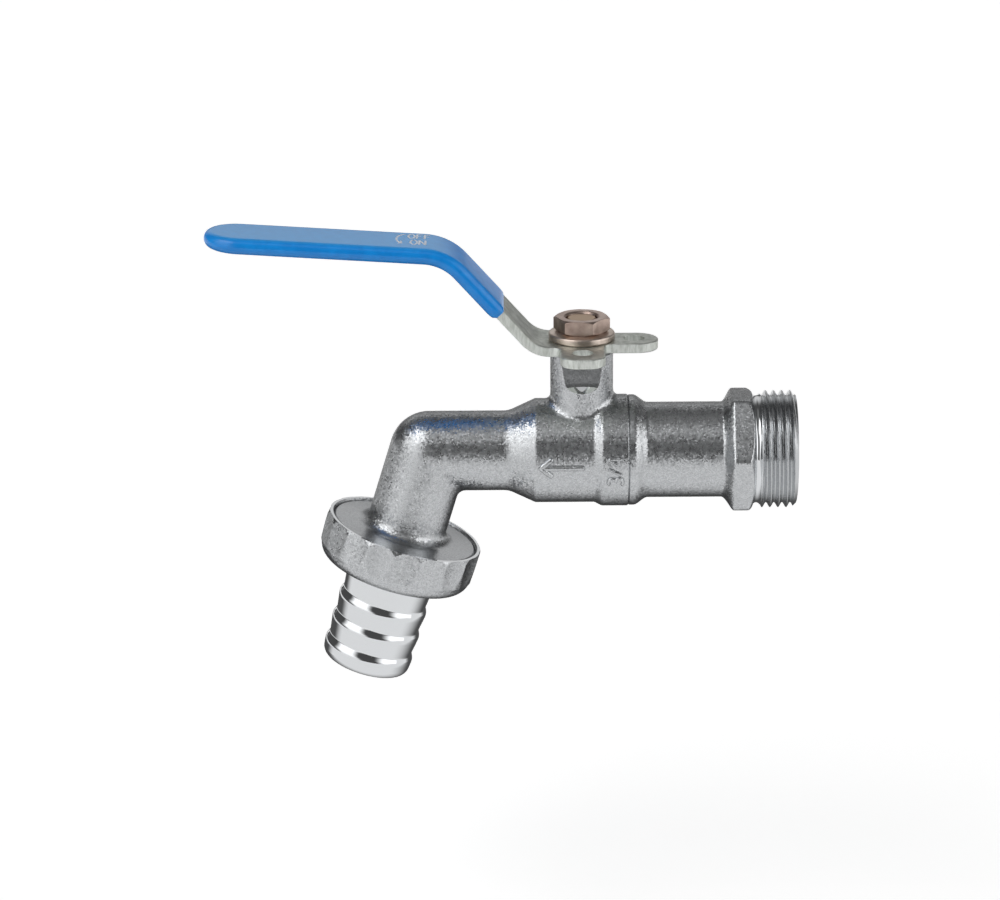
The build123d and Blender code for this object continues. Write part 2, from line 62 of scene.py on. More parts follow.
def linear(hex_colour):
    """An sRGB hex colour as the linear RGBA that Blender's sockets take."""
    channels = [int(hex_colour[i : i + 2], 16) / 255 for i in (1, 3, 5)]
    return tuple(c / 12.92 if c <= 0.04045 else ((c + 0.055) / 1.055) ** 2.4 for c in channels) + (1.0,)


def fill(tree, node, sockets):
    """Set a node's sockets to plain values, or link them to other nodes' outputs."""
    for name, value in sockets.items():
        if isinstance(value, bpy.types.NodeSocket):
            tree.links.new(value, node.inputs[name])
        else:
            node.inputs[name].default_value = value


def add(tree, kind, sockets=None, **settings):
    """A new node with its settings and its sockets filled."""
    node = tree.nodes.new("ShaderNode" + kind)
    for name, value in settings.items():
        setattr(node, name, value)
    fill(tree, node, sockets or {})
    return node


def new_material(name):
    """An empty material with its node tree, its Principled shader and its object coordinates."""
    material = bpy.data.materials.new(name)
    material.use_nodes = True
    tree = material.node_tree
    shader = tree.nodes["Principled BSDF"]
    place = add(tree, "TexCoord").outputs["Object"]
    return material, tree, shader, place


print("chrome grey in linear light:", [round(c, 3) for c in linear("#BABCBE")])

# %% [markdown]
# ## Chrome over a blasted forging
# The body, the inlet end and the union nut are hot-forged brass. Forgings are shot-blasted to clean
# them, which leaves a skin of tiny craters, and the chrome plate copies every crater. The eye sees a
# satin grey that sparkles: each crater mirrors another part of the room. Chromium itself mirrors only
# some 55 % of the light. A Voronoi pattern deals out the craters: each cell gets a random colour, and
# read as a direction that colour leans the cell's face a little. A slow noise adds the gentle waves of
# the die. Seen at a low angle, the outline of the forging is darker: the Layer Weight node knows that
# angle, and a painted shade darkens the plate's colour there, for the craters' rims that hide each
# other's bright sides. Where a cutter went over the forging, the plate lies on a smoother face, so a
# mask can flatten the craters and lessen the painted shade.

# %% Blasted chrome
CRATER = 0.25 * MM
WAVE = 1.1 * MM
CRATER_TILT = 0.27
OUTLINE_SHADE_SHARE = 0.8
CUT_TILT = 0.08
CUT_OUTLINE_SHADE_SHARE = 0.1
CUT_ROUGHNESS = 0.28


def blasted_chrome(name, cut_mask=None):
    """Satin chrome with blasting craters; cut_mask(tree, place) is 1 where a cutter smoothed the face."""
    material, tree, shader, place = new_material(name)
    craters = add(tree, "TexVoronoi", {"Vector": place, "Scale": 1 / CRATER}).outputs["Color"]
    wave = add(tree, "TexNoise", {"Vector": place, "Scale": 1 / WAVE, "Detail": 2.0}).outputs["Fac"]
    rough = add(tree, "MapRange", {"Value": wave, "From Min": 0.35, "From Max": 0.65,
                                   "To Min": 0.25, "To Max": 0.34}).outputs["Result"]
    blasted = (CRATER_TILT, OUTLINE_SHADE_SHARE, rough)
    if cut_mask:
        mask = cut_mask(tree, place)
        pairs = zip(blasted, (CUT_TILT, CUT_OUTLINE_SHADE_SHARE, CUT_ROUGHNESS))
        blasted = [add(tree, "Mix", {"Factor": mask, "A": a, "B": b}, data_type="FLOAT").outputs["Result"]
                   for a, b in pairs]
    tilt, outline_shade_share, rough = blasted
    lean = add(tree, "VectorMath", {0: craters, 1: (0.5, 0.5, 0.5)}, operation="SUBTRACT").outputs[0]
    leaned = add(tree, "VectorMath", {0: lean, "Scale": tilt}, operation="SCALE").outputs[0]
    skin = add(tree, "NewGeometry").outputs["Normal"]
    leaning = add(tree, "VectorMath", {0: skin, 1: leaned}, operation="ADD").outputs[0]
    facing = add(tree, "VectorMath", {0: leaning}, operation="NORMALIZE").outputs[0]
    bump = add(tree, "Bump", {"Height": wave, "Strength": 0.35, "Distance": 0.06 * MM, "Normal": facing})
    dust = add(tree, "SeparateXYZ", {0: craters}).outputs["X"]
    tint = add(tree, "ValToRGB", {"Fac": dust})
    for element, colour in zip(tint.color_ramp.elements, ("#B0B2B4", "#CCCED0")):
        element.color = linear(colour)
    # Painted shade: towards the outline the plate's colour darkens to a dark grey.
    glance = add(tree, "LayerWeight", {"Blend": 0.5}).outputs["Facing"]
    outline_shade = add(tree, "MapRange", {"Value": glance, "From Min": 0.38, "From Max": 0.85,
                                    "To Max": outline_shade_share}, interpolation_type="SMOOTHSTEP")
    plate = add(tree, "Mix", {"Factor": outline_shade.outputs["Result"], "A": tint.outputs["Color"],
                              "B": linear("#5E6062")}, data_type="RGBA")
    fill(tree, shader, {"Base Color": plate.outputs[MIXED_COLOUR], "Roughness": rough,
                        "Normal": bump.outputs["Normal"], "Metallic": 1.0})
    return material


forged = blasted_chrome("Chrome_on_blasted_forging")
print("made", forged.name)

# %% [markdown]
# The body has two faces that were cut after forging: the flat milled on the front of the neck, and the
# turned flange low on the spout. The first lies inside the round of the neck, the second begins at a
# known depth down the spout, so both can be told from the rest by where a point is.

# %% Blasted chrome with cut faces
STEM_X = -40.2
NECK_R = 7.05
NECK_FOOT_Z = 13.0
ELBOW_X = -74.5
SPOUT_TILT = math.radians(17.0)
DOWN = (-math.sin(SPOUT_TILT), 0.0, -math.cos(SPOUT_TILT))
FLANGE_START = 18.4
FLANGE_FULL = 19.2


def cut_faces(tree, place):
    """1 on the flat milled into the round of the neck and on the turned flange low on the spout."""
    centred = add(tree, "VectorMath", {0: place, 1: (-STEM_X * MM, 0, 0)}, operation="ADD").outputs[0]
    axes = add(tree, "SeparateXYZ", {0: centred}).outputs
    plan = add(tree, "CombineXYZ", {"X": axes["X"], "Y": axes["Y"]}).outputs[0]
    radius = add(tree, "VectorMath", {0: plan}, operation="LENGTH").outputs["Value"]
    inside = add(tree, "Math", {0: radius, 1: (NECK_R - 0.04) * MM}, operation="LESS_THAN").outputs[0]
    above = add(tree, "Math", {0: axes["Z"], 1: NECK_FOOT_Z * MM}, operation="GREATER_THAN").outputs[0]
    milled = add(tree, "Math", {0: inside, 1: above}, operation="MULTIPLY").outputs[0]
    from_elbow = add(tree, "VectorMath", {0: place, 1: (-ELBOW_X * MM, 0, 0)}, operation="ADD").outputs[0]
    depth = add(tree, "VectorMath", {0: from_elbow, 1: DOWN}, operation="DOT_PRODUCT").outputs["Value"]
    flange = add(tree, "MapRange", {"Value": depth, "From Min": FLANGE_START * MM,
                                    "From Max": FLANGE_FULL * MM}).outputs["Result"]
    return add(tree, "Math", {0: milled, 1: flange}, operation="MAXIMUM").outputs[0]


forged_body = blasted_chrome("Chrome_on_blasted_forging_body", cut_faces)
print("made", forged_body.name)

# %% [markdown]
# ## Chrome over a turned face
# The hose tail, the scoop on the neck and the nut's rim were cut and polished before plating. Polished
# brass under chrome is a mirror, so its roughness is low and only a trace of waviness is left.

# %% Turned chrome
turned, tree, shader, place = new_material("Chrome_on_turned_brass")
wave = add(tree, "TexNoise", {"Vector": place, "Scale": 1 / (1.6 * MM), "Detail": 1.0})
haze = add(tree, "TexNoise", {"Vector": place, "Scale": 1 / (6 * MM), "Detail": 3.0})
bump = add(tree, "Bump", {"Height": wave.outputs["Fac"], "Strength": 0.12, "Distance": 0.02 * MM})
rough = add(tree, "MapRange", {"Value": haze.outputs["Fac"], "From Min": 0.3, "From Max": 0.7,
                               "To Min": 0.03, "To Max": 0.07})
fill(tree, shader, {"Base Color": linear("#DCDEE0"), "Roughness": rough.outputs["Result"],
                    "Normal": bump.outputs["Normal"], "Metallic": 1.0})
print("made", turned.name)

# %% [markdown]
# A thread is cut in many passes and is never buffed, so its flanks keep the tool's fine rings and mirror
# less sharply. The noise is squeezed along the inlet's axis, which draws it out into rings. Real rings
# are about 0.05 mm apart. They are drawn coarser here, because finer ones would only blur into an even
# grey.

# %% Cut chrome
TOOL_RING = 0.16 * MM
RING_REACH = 9 * MM
cut, tree, shader, place = new_material("Chrome_on_cut_thread")
squeeze = (1 / TOOL_RING, 1 / RING_REACH, 1 / RING_REACH)
squeezed = add(tree, "VectorMath", {0: place, 1: squeeze}, operation="MULTIPLY").outputs[0]
rings = add(tree, "TexNoise", {"Vector": squeezed, "Scale": 1.0, "Detail": 2.0}).outputs["Fac"]
pits = add(tree, "TexNoise", {"Vector": place, "Scale": 1 / (0.5 * MM), "Detail": 2.0}).outputs["Fac"]
height = add(tree, "Math", {0: pits, 1: 0.5, 2: rings}, operation="MULTIPLY_ADD").outputs[0]
bump = add(tree, "Bump", {"Height": height, "Strength": 0.7, "Distance": 0.03 * MM})
rough = add(tree, "MapRange", {"Value": pits, "From Min": 0.3, "From Max": 0.7,
                               "To Min": 0.15, "To Max": 0.28})
fill(tree, shader, {"Base Color": linear("#C4C6C8"), "Roughness": rough.outputs["Result"],
                    "Normal": bump.outputs["Normal"], "Metallic": 1.0})
print("made", cut.name)

# %% [markdown]
# ## Zinc-plated steel
# The lever is stamped from steel plate and barrel-plated with zinc. Zinc is a pale, slightly green grey
# with a soft sheen, and the plate shows cloudy patches where the passivation dried and fine marks from
# the barrel. The stamping tool shears the edges, which leaves them coarse and streaked from top to
# bottom: they take light from all round and look paler than the flat faces, and their paler tint is
# painted light over the real streaky tones. A face's own direction tells the two apart, since the
# lever's edges look along Y. The streaks are a noise that is drawn out along Z.

# %% Zinc plate
STREAK_W = 0.5 * MM
STREAK_L = 2 * MM
zinc, tree, shader, place = new_material("Zinc_plated_steel")
clouds = add(tree, "TexNoise", {"Vector": place, "Scale": 1 / (2.6 * MM), "Detail": 5.0, "Roughness": 0.62})
tumble = add(tree, "TexNoise", {"Vector": place, "Scale": 1 / (0.6 * MM), "Detail": 3.0}).outputs["Fac"]
drawing = (1 / STREAK_W, 1 / STREAK_W, 1 / STREAK_L)
drawn = add(tree, "VectorMath", {0: place, 1: drawing}, operation="MULTIPLY").outputs[0]
streaks = add(tree, "TexNoise", {"Vector": drawn, "Scale": 1.0, "Detail": 2.0}).outputs["Fac"]
tint = add(tree, "ValToRGB", {"Fac": clouds.outputs["Fac"]})
for element, position, colour in zip(tint.color_ramp.elements, (0.35, 0.65), ("#B2B6AF", "#DCDFD9")):
    element.position = position
    element.color = linear(colour)
# Painted light: the edges get a paler tint than the flat faces; its streaky tones are real.
edge_tint_and_light = add(tree, "ValToRGB", {"Fac": streaks})
for element, position, colour in zip(edge_tint_and_light.color_ramp.elements, (0.3, 0.6), ("#CBCFC9", "#E4E7E3")):
    element.position = position
    element.color = linear(colour)
facing = add(tree, "SeparateXYZ", {0: add(tree, "NewGeometry").outputs["True Normal"]}).outputs["Y"]
upright = add(tree, "Math", {0: facing}, operation="ABSOLUTE").outputs[0]
sheared = add(tree, "MapRange", {"Value": upright, "From Min": 0.4, "From Max": 0.8}).outputs["Result"]
flat_rough = add(tree, "MapRange", {"Value": tumble, "From Min": 0.3, "From Max": 0.7,
                                    "To Min": 0.38, "To Max": 0.52}).outputs["Result"]
rough = add(tree, "Mix", {"Factor": sheared, "A": flat_rough, "B": 0.62}, data_type="FLOAT")
relief = add(tree, "Mix", {"Factor": sheared, "A": tumble, "B": streaks}, data_type="FLOAT")
paler = add(tree, "Mix", {"Factor": sheared, "A": tint.outputs["Color"], "B": edge_tint_and_light.outputs["Color"]},
            data_type="RGBA")
worn_edge = add(tree, "Bevel", {"Radius": 0.2 * MM}, samples=6).outputs["Normal"]
bump = add(tree, "Bump", {"Height": relief.outputs["Result"], "Strength": 0.3, "Distance": 0.06 * MM,
                          "Normal": worn_edge})
fill(tree, shader, {"Base Color": paler.outputs[MIXED_COLOUR], "Roughness": rough.outputs["Result"],
                    "Normal": bump.outputs["Normal"], "Metallic": 1.0})
print("made", zinc.name)

# %% [markdown]
# ## Bronzed steel of the nut and washer
# The nut and its washer have a warm brown conversion coat. It is thin, so it still shines like metal,
# and it wears to a lighter tone here and there. No edge of a tumbled piece is quite sharp: a bevel node
# bends the shading over a quarter of a millimetre at each edge, which catches the light in a thin line.


# %% Bronzed steel
def bronzed_steel(name, dark, light):
    """Steel under a warm brown conversion coat between two tones."""
    material, tree, shader, place = new_material(name)
    clouds = add(tree, "TexNoise", {"Vector": place, "Scale": 1 / (2.5 * MM), "Detail": 4.0})
    tool = add(tree, "TexNoise", {"Vector": place, "Scale": 1 / (0.35 * MM), "Detail": 2.0})
    tint = add(tree, "ValToRGB", {"Fac": clouds.outputs["Fac"]})
    for element, position, colour in zip(tint.color_ramp.elements, (0.35, 0.70), (dark, light)):
        element.position = position
        element.color = linear(colour)
    worn_edge = add(tree, "Bevel", {"Radius": 0.25 * MM}, samples=6).outputs["Normal"]
    bump = add(tree, "Bump", {"Height": tool.outputs["Fac"], "Strength": 0.35, "Distance": 0.05 * MM,
                              "Normal": worn_edge})
    fill(tree, shader, {"Base Color": tint.outputs["Color"], "Roughness": 0.34,
                        "Normal": bump.outputs["Normal"], "Metallic": 1.0})
    return material


bronzed_nut = bronzed_steel("Bronze_passivated_nut", "#AA948A", "#D0BCB0")
bronzed_washer = bronzed_steel("Bronze_passivated_washer", "#C2B2A6", "#E0D2C6")
print("made", bronzed_nut.name, "and", bronzed_washer.name)

# %% [markdown]
# ## Dipped vinyl
# The lever's grip was dipped hot into liquid vinyl, which set to a soft blue skin. It is a plastic with
# a satin sheen, a faint orange-peel ripple and small changes of depth in its colour. Faces that look up
# get a lighter blue: painted light from above.

# %% Blue vinyl
vinyl, tree, shader, place = new_material("Dipped_vinyl")
ripple = add(tree, "TexNoise", {"Vector": place, "Scale": 1 / (2.2 * MM), "Detail": 1.0}).outputs["Fac"]
pores = add(tree, "TexNoise", {"Vector": place, "Scale": 1 / (0.4 * MM), "Detail": 2.0}).outputs["Fac"]
height = add(tree, "Math", {0: pores, 1: 0.25, 2: ripple}, operation="MULTIPLY_ADD").outputs[0]
bump = add(tree, "Bump", {"Height": height, "Strength": 0.15, "Distance": 0.05 * MM})
tint = add(tree, "ValToRGB", {"Fac": ripple})
for element, position, colour in zip(tint.color_ramp.elements, (0.35, 0.65), ("#0892F0", "#0E9CFA")):
    element.position = position
    element.color = linear(colour)
# Painted light: faces that look up mix towards a lighter blue.
lift = add(tree, "SeparateXYZ", {0: add(tree, "NewGeometry").outputs["Normal"]}).outputs["Z"]
top_light = add(tree, "MapRange", {"Value": lift, "From Min": 0.8, "From Max": 0.995, "To Max": 0.55})
tint_and_top_light = add(tree, "Mix", {"Factor": top_light.outputs["Result"], "A": tint.outputs["Color"],
                              "B": linear("#4CB8F8")}, data_type="RGBA")
fill(tree, shader, {"Base Color": tint_and_top_light.outputs[MIXED_COLOUR], "Normal": bump.outputs["Normal"],
                    "Roughness": 0.26, "IOR": 1.53, "Sheen Weight": 0.08, "Sheen Roughness": 0.4})
print("made", vinyl.name)

# %% [markdown]
# ## Brass, PTFE and rubber
# The stem is plain turned brass, and its end shows in the lever's nut. The seats and the thrust washer
# are white PTFE, waxy and dull, and the rings and the gasket are black nitrile rubber. These sit inside,
# and their finishes show in a cut or an open joint.


# %% Inner materials
def plain_finish(name, dark, light, grain, **sockets):
    """A finish with a cloudy tint between two colours and a fine bump of the given grain size."""
    material, tree, shader, place = new_material(name)
    cloud = add(tree, "TexNoise", {"Vector": place, "Scale": 1 / grain, "Detail": 3.0}).outputs["Fac"]
    tint = add(tree, "ValToRGB", {"Fac": cloud})
    for element, colour in zip(tint.color_ramp.elements, (dark, light)):
        element.color = linear(colour)
    bump = add(tree, "Bump", {"Height": cloud, "Strength": 0.2, "Distance": 0.02 * MM})
    fill(tree, shader, {"Base Color": tint.outputs["Color"], "Normal": bump.outputs["Normal"], **sockets})
    return material


brass = plain_finish("Turned_brass", "#A08468", "#BFA284", 0.5 * MM, Roughness=0.32, Metallic=1.0)
ptfe = plain_finish("White_PTFE", "#DEDED9", "#F0F0EC", 1.0 * MM, Roughness=0.55, IOR=1.35)
rubber = plain_finish("Nitrile_rubber", "#141414", "#242424", 0.5 * MM, Roughness=0.70, IOR=1.52)

finishes = {
    "body": forged_body,
    "inlet_end": forged,
    "union_nut": forged,
    "hose_tail": turned,
    "ball": turned,
    "stem": brass,
    "lever": zinc,
    "lever_sleeve": vinyl,
    "lever_washer": bronzed_washer,
    "lever_nut": bronzed_nut,
    "seat_inlet": ptfe,
    "seat_outlet": ptfe,
    "stem_thrust_washer": ptfe,
    "stem_o_ring_lower": rubber,
    "stem_o_ring_upper": rubber,
    "union_gasket": rubber,
}
for name, material in finishes.items():
    nodes[name].data.materials.clear()
    nodes[name].data.materials.append(material)
print("finishes set on", len(finishes), "nodes")

# %% [markdown]
# ## Turned shapes from rings
# The inlet end and the union nut are turned shapes with something cut into them: a screw thread, a
# hexagon, facets. One way to make them is a revolve and many cuts. Here each is a grid instead: rings of
# points that run round the axis, one ring for each step along the section. The radius of every point may
# depend on its angle, which gives threads, flats and facets directly, with even faces and no cutting.


# %% Pieces from points
def new_piece(name, points, faces, *materials):
    """A smooth mesh object in the scene from points in metres and faces, with its materials."""
    mesh = bpy.data.meshes.new(name)
    mesh.from_pydata([tuple(p) for p in points], [], faces)
    mesh.update()
    mesh.shade_smooth()
    for material in materials:
        mesh.materials.append(material)
    piece = bpy.data.objects.new(name, mesh)
    bpy.context.scene.collection.objects.link(piece)
    return piece


def ring_grid(name, radius, along, frame_axes, origin, smooth_angle, *materials):
    """A closed piece from arrays of radius and place along the axis; rows run along the section."""
    axis, first, second = (Vector(v) for v in frame_axes)
    rows, columns = radius.shape
    turn = np.linspace(0, 2 * math.pi, columns, endpoint=False)
    points = (
        np.array(origin)
        + along[..., None] * np.array(axis)
        + (radius * np.cos(turn))[..., None] * np.array(first)
        + (radius * np.sin(turn))[..., None] * np.array(second)
    ).reshape(-1, 3)
    row = np.arange(rows)[:, None] * columns
    next_row = (np.arange(1, rows + 1) % rows)[:, None] * columns
    column = np.arange(columns)[None, :]
    next_column = (column + 1) % columns
    corners = [row + column, row + next_column, next_row + next_column, next_row + column]
    faces = np.stack(corners, axis=-1).reshape(-1, 4).tolist()
    piece = new_piece(name, points.tolist(), faces, *materials)
    piece.data.set_sharp_from_angle(angle=math.radians(smooth_angle))
    return piece


def round_rows(section, columns):
    """Rows of a grid that are true circles, from pairs of a place along the axis and a radius."""
    section = np.array(section)
    return np.repeat(section[:, :1], columns, 1), np.repeat(section[:, 1:], columns, 1)


def soft_min(a, b, softness):
    """The smaller of two values, rounded over where they are close."""
    gap = np.clip(1 - np.abs(a - b) / softness, 0, 1)
    return np.minimum(a, b) - gap * gap * softness / 4


def smooth_step(x, start, end):
    """0 before start, 1 after end, with an S-curve between."""
    t = np.clip((x - start) / (end - start), 0, 1)
    return t * t * (3 - 2 * t)


print("half way up an S-curve:", smooth_step(0.5, 0, 1))

# %% [markdown]
# ## Inlet end with its screw thread
# The wall thread is a G 3/4 pipe thread: 26.44 mm outside, 14 threads to the inch, so a pitch of 1.814
# mm, with flanks at 55 degrees. Each column of the grid meets the thread a little further along, which
# makes the helix. It runs in steeply from the relief behind it, and a chamfer ends it at the mouth.

# %% Thread
PITCH = 1.814
CREST_R = 13.22
THREAD_DEPTH = 1.12
CREST_AT_TOP = 1.33
CREST_FLAT = 0.06
FLANK_SHARE = 0.84
FLANK_ROUND = 0.05
THREAD_END = 7.95
THREAD_STEP = 0.065
END_CHAMFER = 1.0
RELIEF_R = 12.3
RUN_IN_START = 0.15
RUN_IN_SLOPE = 2.2
INLET_COLUMNS = 240

angle = np.linspace(0, 2 * math.pi, INLET_COLUMNS, endpoint=False)
thread_x = np.arange(0.0, THREAD_END + 1e-6, THREAD_STEP)[:, None]
phase = (thread_x - CREST_AT_TOP) / PITCH - (angle[None, :] - math.pi / 2) / (2 * math.pi)
saw = np.abs((phase + 0.5) % 1.0 - 0.5) * 2
flank = np.clip((saw - CREST_FLAT) / FLANK_SHARE, 0, 1)
flank -= FLANK_ROUND * np.sin(2 * math.pi * flank)
run_in = RELIEF_R + (thread_x + RUN_IN_START) * RUN_IN_SLOPE
chamfer_r = CREST_R + (THREAD_END - END_CHAMFER - thread_x)
thread_r = np.minimum(np.minimum(CREST_R - THREAD_DEPTH * flank, run_in), np.maximum(chamfer_r, 0))
thread_r = np.maximum(thread_r, CREST_R - THREAD_DEPTH)
print("thread:", len(thread_x), "rings at a pitch of", PITCH, "mm")

# %% [markdown]
# Behind the thread and its relief comes the forged hexagon for the spanner. Its flats bulge a little,
# its corners are rounded, it grows softly out of the tube, and its edge towards the relief is rounded
# over.

# %% Hexagon
RELIEF_START = -1.9
TUBE_R = 10.75
HEX_FLAT_R = 12.65
HEX_CORNER_R = 14.8
HEX_BULGE = 0.2
HEX_TURN = math.radians(-4.3)
HEX_GROWTH = (-8.9, -6.1)
HEX_EDGE_X = -3.3

hex_x = np.concatenate([np.linspace(-9.2, -5.8, 40), np.linspace(-5.5, -3.5, 6),
                        np.linspace(HEX_EDGE_X, RELIEF_START, 18)])
sixth = math.pi / 3
from_corner = np.abs((angle - HEX_TURN + sixth / 2) % sixth - sixth / 2)
from_middle = sixth / 2 - from_corner
facet_r = HEX_FLAT_R / np.cos(from_middle) + HEX_BULGE * (1 - (from_middle / (sixth / 2)) ** 2)
facet_r = soft_min(facet_r, np.full(INLET_COLUMNS, HEX_CORNER_R), 0.6)
facet_r = sum(np.roll(facet_r, k) * (3 - abs(k)) for k in range(-2, 3)) / 9
grown = smooth_step(hex_x, *HEX_GROWTH)
edge_r = HEX_CORNER_R + 0.1 - 1.2 * np.clip(hex_x - HEX_EDGE_X, 0, None) ** 1.4
hex_r = soft_min(TUBE_R + (facet_r[None, :] - TUBE_R) * grown[:, None], edge_r[:, None], 0.5)
print("hexagon:", len(hex_x), "rings,", 2 * HEX_FLAT_R, "mm across its flats")

# %% [markdown]
# The rest is round: the spigot that screws into the body, the collar that slopes down to the tube, the
# hollow relief behind the thread, and the bore, which narrows towards the ball. The thread and the bore
# keep the tool's marks, the relief is polished, and all else is forged.

# %% Inlet end
COLLAR_R = 12.45
SEAM_X = -29.8
SPIGOT_X = -35.8
SPIGOT_R = 10.38
SEAT_POCKET_R = 8.25
SEAT_POCKET_X = -31.9
BORE_R = 8.0
WATERWAY_R = 5.5

section = [
    (SPIGOT_X, SEAT_POCKET_R),
    (SPIGOT_X, 10.1),
    (SPIGOT_X + 0.3, SPIGOT_R),
    (SEAM_X - 0.05, SPIGOT_R),
    (SEAM_X - 0.05, COLLAR_R - 0.25),
    (SEAM_X + 0.2, COLLAR_R),
]
collar_x = np.linspace(SEAM_X + 0.4, SEAM_X + 5.0, 30)
collar_r = TUBE_R + (COLLAR_R - TUBE_R) * (1 - smooth_step(collar_x, SEAM_X + 1.1, SEAM_X + 4.4))
section += list(zip(collar_x, collar_r))
section += [(x, TUBE_R) for x in np.linspace(-24.4, -9.5, 10)]
hollow = np.linspace(-1, 1, 15)
relief = [(RELIEF_START + 0.05 + (t + 1) * 0.86, RELIEF_R - 0.2 + 0.5 * t * t) for t in hollow]
inside = [
    (THREAD_END, CREST_R - END_CHAMFER - 0.1),
    (THREAD_END, BORE_R + 0.5),
    (THREAD_END - 0.5, BORE_R),
    (-10.0, BORE_R),
    (-21.8, BORE_R),
    (-25.8, WATERWAY_R),
    (SEAT_POCKET_X, WATERWAY_R),
    (SEAT_POCKET_X, SEAT_POCKET_R),
]
blocks = [
    round_rows(section, INLET_COLUMNS),
    (np.repeat(hex_x[:, None], INLET_COLUMNS, 1), hex_r),
    round_rows(relief, INLET_COLUMNS),
    (np.repeat(thread_x, INLET_COLUMNS, 1), thread_r),
    round_rows(inside, INLET_COLUMNS),
]
inlet_along = np.concatenate([along for along, _ in blocks]) * MM
inlet_radius = np.concatenate([radius for _, radius in blocks]) * MM
inlet = ring_grid("inlet_end_threaded", inlet_radius, inlet_along,
                  ((1, 0, 0), (0, 1, 0), (0, 0, 1)), (0, 0, 0), 40, forged, cut, turned)
for face in inlet.data.polygons:
    x, y, z = face.center
    if x > -0.15 * MM or math.hypot(y, z) < (BORE_R + 0.1) * MM:
        face.material_index = 1
    elif x > (RELIEF_START + 0.01) * MM:
        face.material_index = 2
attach(inlet, "tap_body")
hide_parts("inlet_end")
print("inlet end:", len(inlet.data.polygons), "faces")

# %% [markdown]
# ## Faceted union nut
# The nut is tightened by hand or with a strap, so eighteen facets run round its upper half. The side
# tapers, so the facets run out by themselves above the round base. A turned chamfer cuts the rim: it
# reaches lower on the corners than on the facets, which arches the top of each facet, as on any hexagon
# nut. In the grid each of these is one radius, and the smallest of them is the surface. Corners are
# rounded as the forging is.

# %% Facets of the union nut
RIM = 19.4
RIM_STEP = 0.51
RIM_SLOPE = 0.392
RIM_SLOPE_L = 1.3
NUT_BOTTOM = 29.8
NUT_CORNER_R = 18.1
NUT_BLANK_R = 18.22
NUT_LOW_R = 17.55
NUT_ROUND = 3.2
FACETS = 18
FACET_CORNER = math.radians(15.6)
FACET_HOLLOW = 0.22
CORNER_ROUND = 0.2
NUT_COLUMNS = FACETS * 32

angle = np.linspace(0, 2 * math.pi, NUT_COLUMNS, endpoint=False)
half_facet = math.pi / FACETS
from_corner = np.abs((angle - FACET_CORNER + half_facet) % (2 * half_facet) - half_facet)
facet_r = NUT_CORNER_R * math.cos(half_facet) / np.cos(half_facet - from_corner)
facet_r -= FACET_HOLLOW * (1 - (1 - from_corner / half_facet) ** 2)
near_corner = np.clip(1 - from_corner * NUT_CORNER_R / CORNER_ROUND, 0, 1)
facet_r -= CORNER_ROUND * math.tan(half_facet) / 2 * near_corner**2

side = np.concatenate([np.linspace(RIM, RIM + 1.6, 26),
                       np.linspace(RIM + 1.75, NUT_BOTTOM - NUT_ROUND, 36)])
taper = (side - RIM - RIM_SLOPE_L) / (NUT_BOTTOM - RIM - RIM_SLOPE_L)
wall = NUT_BLANK_R - (NUT_BLANK_R - NUT_LOW_R) * taper
rim_r = NUT_BLANK_R - RIM_STEP + (side - RIM) * RIM_SLOPE
side_r = soft_min(facet_r[None, :], wall[:, None], 0.08)
side_r = soft_min(side_r, rim_r[:, None], 0.06)
print("nut's side:", len(side), "rings,", FACETS, "facets")

# %% [markdown]
# The base of the nut is round: a wide fillet, the hole that lets the hose tail through, the lip that
# draws the tail up, and the bore of the union thread. The rim's top was turned, so it is bright.

# %% Union nut
ACROSS = (-math.cos(SPOUT_TILT), 0.0, math.sin(SPOUT_TILT))
NUT_BORE_R = 16.725
HOLE_R = 10.85
LIP_TOP = 27.8

base = [(NUT_BOTTOM + NUT_ROUND * (math.sin(t) - 1), NUT_LOW_R + NUT_ROUND * (math.cos(t) - 1))
        for t in np.linspace(0, math.pi / 2, 14)[1:]]
base += [
    (NUT_BOTTOM, 13.4),
    (NUT_BOTTOM, 12.2),
    (NUT_BOTTOM, HOLE_R + 0.3),
    (NUT_BOTTOM - 0.3, HOLE_R),
    (LIP_TOP, HOLE_R),
    (LIP_TOP, NUT_BORE_R - 0.3),
    (LIP_TOP - 0.3, NUT_BORE_R),
    (24.0, NUT_BORE_R),
    (RIM + 0.5, NUT_BORE_R),
    (RIM, NUT_BORE_R + 0.3),
]
base_along, base_radius = round_rows(base, NUT_COLUMNS)
nut = ring_grid("union_nut_faceted",
                np.concatenate([side_r, base_radius]) * MM,
                np.concatenate([np.repeat(side[:, None], NUT_COLUMNS, 1), base_along]) * MM,
                (DOWN, ACROSS, (0, 1, 0)), (ELBOW_X * MM, 0, 0), 32, forged, turned)
down = np.array(DOWN)
for face in nut.data.polygons:
    if (np.array(face.center) - (ELBOW_X * MM, 0, 0)) @ down < (RIM + 0.03) * MM:
        face.material_index = 1
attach(nut, "nut_unit")
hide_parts("union_nut")
print("union nut:", len(nut.data.polygons), "faces")

# %% [markdown]
# ## Soft inner corner of the elbow
# Where the barrel and the spout meet on the inside of the bend, the forging die is generously rounded.
# Two pipes of one size meet in a plane that halves their angle, so a ball that rolls along the corner
# and touches both keeps its centre in that plane. The skin it leaves is made of arcs from one touching
# point to the other. The ball grows towards the sides, because the corner is tight below and runs out
# softly on the flanks.

# %% Elbow fillet
PIPE_R = 9.0
BALL_R = 2.2
BALL_GROWTH = 7.0
SKIN_LIFT = 0.015
FILLET_ROWS = 57
FILLET_STEPS = 15


def grid_faces(rows, columns, start=0):
    """Four-cornered faces of a grid of points that are listed row by row, the first at a given place."""
    corners = [start + r * columns + c for r in range(rows - 1) for c in range(columns - 1)]
    return [(a, a + 1, a + columns + 1, a + columns) for a in corners]


